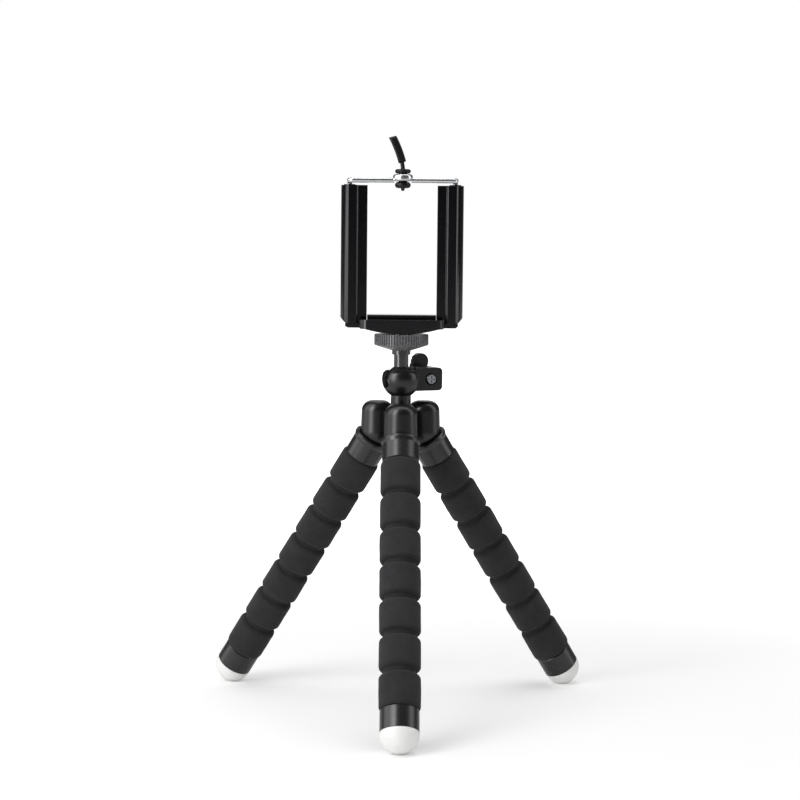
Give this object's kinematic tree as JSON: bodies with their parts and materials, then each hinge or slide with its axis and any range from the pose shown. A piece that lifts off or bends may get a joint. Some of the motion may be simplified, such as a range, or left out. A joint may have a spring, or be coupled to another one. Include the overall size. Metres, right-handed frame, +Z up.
{
  "type": "flexible leg tripod",
  "caption": "Small foam-sleeved flexible leg tripod with a clamped ball head and a sprung U-shaped phone clip on a camera screw.",
  "frame": {"origin": "on the floor, at the middle of the rectangle that the three feet span", "axes": "+Z up, the front leg points to -Y, +X to the viewer's right"},
  "size_m": [0.1472, 0.1294, 0.2184],
  "materials": {
    "black_abs": "moulded black ABS, satin to glossy",
    "collar_plastic": "moulded black plastic, glossy",
    "grip_plastic": "moulded black plastic, ribbed for grip",
    "foam": "charcoal EVA foam, matte skin",
    "white_rubber": "white rubber, soft sheen",
    "black_rubber": "black rubber, matte",
    "bright_wire": "bright nickel plated spring wire",
    "plated_steel": "zinc plated steel",
    "soft_steel": "annealed steel wire",
    "brass": "turned brass"
  },
  "bodies": {
    "hub": {"hub_body": "black_abs", "hub_screw": "plated_steel", "ball_cup": "black_abs", "clamp_screw": "plated_steel"},
    "lever": {"clamp_lever": "grip_plastic", "clamp_nut": "plated_steel"},
    "head": {"ball_post": "black_abs", "camera_stud": "plated_steel"},
    "locking_ring": {"locking_ring": "grip_plastic"},
    "clip": {"clip_base": "black_abs", "base_cover": "black_abs", "thread_insert": "brass", "rail_screws": "plated_steel", "shelf_strip": "black_rubber", "left_rail": "black_abs", "right_rail": "black_abs", "rail_guides": "grip_plastic", "left_spring": "plated_steel", "right_spring": "plated_steel"},
    "yoke": {"yoke": "bright_wire", "yoke_stops": "plated_steel", "pull_tab": "black_rubber"},
    "left_leg_1": {"left_collar": "collar_plastic", "left_core_wire": "soft_steel", "left_foam_1": "foam"},
    "left_leg_2": {"left_foam_2": "foam"},
    "left_leg_3": {"left_foam_3": "foam"},
    "left_leg_4": {"left_foam_4": "foam"},
    "left_leg_5": {"left_foam_5": "foam"},
    "left_leg_6": {"left_foam_6": "foam"},
    "left_leg_7": {"left_foam_7": "foam", "left_end_ring": "collar_plastic", "left_foot": "white_rubber"},
    "right_leg_1": {"right_collar": "collar_plastic", "right_core_wire": "soft_steel", "right_foam_1": "foam"},
    "right_leg_2": {"right_foam_2": "foam"},
    "right_leg_3": {"right_foam_3": "foam"},
    "right_leg_4": {"right_foam_4": "foam"},
    "right_leg_5": {"right_foam_5": "foam"},
    "right_leg_6": {"right_foam_6": "foam"},
    "right_leg_7": {"right_foam_7": "foam", "right_end_ring": "collar_plastic", "right_foot": "white_rubber"},
    "front_leg_1": {"front_collar": "collar_plastic", "front_core_wire": "soft_steel", "front_foam_1": "foam"},
    "front_leg_2": {"front_foam_2": "foam"},
    "front_leg_3": {"front_foam_3": "foam"},
    "front_leg_4": {"front_foam_4": "foam"},
    "front_leg_5": {"front_foam_5": "foam"},
    "front_leg_6": {"front_foam_6": "foam"},
    "front_leg_7": {"front_foam_7": "foam", "front_end_ring": "collar_plastic", "front_foot": "white_rubber"}
  },
  "joints": [
    {"name": "lever_turn", "type": "hinge", "parent": "hub", "child": "lever", "pos_m": [0.00979, 0.02378, 0.12621], "axis": [-0.4226, 0.9063, 0], "range_deg": [-85, 85]},
    {"name": "ball_tilt", "type": "hinge", "parent": "hub", "child": "head", "pos_m": [0, 0.01921, 0.12621], "axis": [0.4226, -0.9063, 0], "range_deg": [-16, 85]},
    {"name": "locking_ring_turn", "type": "hinge", "parent": "head", "child": "locking_ring", "pos_m": [0, 0.01921, 0.1435], "axis": [0, 0, 1], "continuous": true},
    {"name": "clip_turn", "type": "hinge", "parent": "head", "child": "clip", "pos_m": [0, 0.01921, 0.1435], "axis": [0, 0, 1], "continuous": true},
    {"name": "yoke_pull", "type": "slide", "parent": "clip", "child": "yoke", "axis": [0, 0, 1], "range_m": [0, 0.035], "stiffness_N_per_m": 120, "springref_m": -0.02, "deforming": ["left_spring", "right_spring"]},
    {"name": "left_leg_fold", "type": "hinge", "parent": "hub", "child": "left_leg_1", "pos_m": [-0.00892, 0.02436, 0.10551], "axis": [0.5, 0.866, 0], "range_deg": [-32, 0]},
    {"name": "left_bend_1", "type": "hinge", "parent": "left_leg_1", "child": "left_leg_2", "pos_m": [-0.02161, 0.03169, 0.08378], "axis": [-0.5, -0.866, 0], "range_deg": [-15, 15], "deforming": ["left_core_wire"]},
    {"name": "left_bend_2", "type": "hinge", "parent": "left_leg_2", "child": "left_leg_3", "pos_m": [-0.02839, 0.0356, 0.07218], "axis": [-0.718, 0.4145, 0.5592], "range_deg": [-15, 15], "deforming": ["left_core_wire"]},
    {"name": "left_bend_3", "type": "hinge", "parent": "left_leg_3", "child": "left_leg_4", "pos_m": [-0.03517, 0.03952, 0.06057], "axis": [-0.5, -0.866, 0], "range_deg": [-15, 15], "deforming": ["left_core_wire"]},
    {"name": "left_bend_4", "type": "hinge", "parent": "left_leg_4", "child": "left_leg_5", "pos_m": [-0.04195, 0.04343, 0.04897], "axis": [-0.718, 0.4145, 0.5592], "range_deg": [-15, 15], "deforming": ["left_core_wire"]},
    {"name": "left_bend_5", "type": "hinge", "parent": "left_leg_5", "child": "left_leg_6", "pos_m": [-0.04873, 0.04734, 0.03736], "axis": [-0.5, -0.866, 0], "range_deg": [-15, 15], "deforming": ["left_core_wire"]},
    {"name": "left_bend_6", "type": "hinge", "parent": "left_leg_6", "child": "left_leg_7", "pos_m": [-0.05551, 0.05126, 0.02575], "axis": [-0.718, 0.4145, 0.5592], "range_deg": [-15, 15], "deforming": ["left_core_wire"]},
    {"name": "right_leg_fold", "type": "hinge", "parent": "hub", "child": "right_leg_1", "pos_m": [0.00892, 0.02436, 0.10551], "axis": [0.5, -0.866, 0], "range_deg": [-32, 0]},
    {"name": "right_bend_1", "type": "hinge", "parent": "right_leg_1", "child": "right_leg_2", "pos_m": [0.02161, 0.03169, 0.08378], "axis": [-0.5, 0.866, 0], "range_deg": [-15, 15], "deforming": ["right_core_wire"]},
    {"name": "right_bend_2", "type": "hinge", "parent": "right_leg_2", "child": "right_leg_3", "pos_m": [0.02839, 0.0356, 0.07218], "axis": [0.718, 0.4145, 0.5592], "range_deg": [-15, 15], "deforming": ["right_core_wire"]},
    {"name": "right_bend_3", "type": "hinge", "parent": "right_leg_3", "child": "right_leg_4", "pos_m": [0.03517, 0.03952, 0.06057], "axis": [-0.5, 0.866, 0], "range_deg": [-15, 15], "deforming": ["right_core_wire"]},
    {"name": "right_bend_4", "type": "hinge", "parent": "right_leg_4", "child": "right_leg_5", "pos_m": [0.04195, 0.04343, 0.04897], "axis": [0.718, 0.4145, 0.5592], "range_deg": [-15, 15], "deforming": ["right_core_wire"]},
    {"name": "right_bend_5", "type": "hinge", "parent": "right_leg_5", "child": "right_leg_6", "pos_m": [0.04873, 0.04734, 0.03736], "axis": [-0.5, 0.866, 0], "range_deg": [-15, 15], "deforming": ["right_core_wire"]},
    {"name": "right_bend_6", "type": "hinge", "parent": "right_leg_6", "child": "right_leg_7", "pos_m": [0.05551, 0.05126, 0.02575], "axis": [0.718, 0.4145, 0.5592], "range_deg": [-15, 15], "deforming": ["right_core_wire"]},
    {"name": "front_leg_fold", "type": "hinge", "parent": "hub", "child": "front_leg_1", "pos_m": [0, 0.00891, 0.10551], "axis": [-1, 0, 0], "range_deg": [-32, 0]},
    {"name": "front_bend_1", "type": "hinge", "parent": "front_leg_1", "child": "front_leg_2", "pos_m": [0, -0.00574, 0.08378], "axis": [1, 0, 0], "range_deg": [-15, 15], "deforming": ["front_core_wire"]},
    {"name": "front_bend_2", "type": "hinge", "parent": "front_leg_2", "child": "front_leg_3", "pos_m": [0, -0.01357, 0.07218], "axis": [0, -0.829, 0.5592], "range_deg": [-15, 15], "deforming": ["front_core_wire"]},
    {"name": "front_bend_3", "type": "hinge", "parent": "front_leg_3", "child": "front_leg_4", "pos_m": [0, -0.0214, 0.06057], "axis": [1, 0, 0], "range_deg": [-15, 15], "deforming": ["front_core_wire"]},
    {"name": "front_bend_4", "type": "hinge", "parent": "front_leg_4", "child": "front_leg_5", "pos_m": [0, -0.02923, 0.04897], "axis": [0, -0.829, 0.5592], "range_deg": [-15, 15], "deforming": ["front_core_wire"]},
    {"name": "front_bend_5", "type": "hinge", "parent": "front_leg_5", "child": "front_leg_6", "pos_m": [0, -0.03705, 0.03736], "axis": [1, 0, 0], "range_deg": [-15, 15], "deforming": ["front_core_wire"]},
    {"name": "front_bend_6", "type": "hinge", "parent": "front_leg_6", "child": "front_leg_7", "pos_m": [0, -0.04488, 0.02575], "axis": [0, -0.829, 0.5592], "range_deg": [-15, 15], "deforming": ["front_core_wire"]}
  ]
}
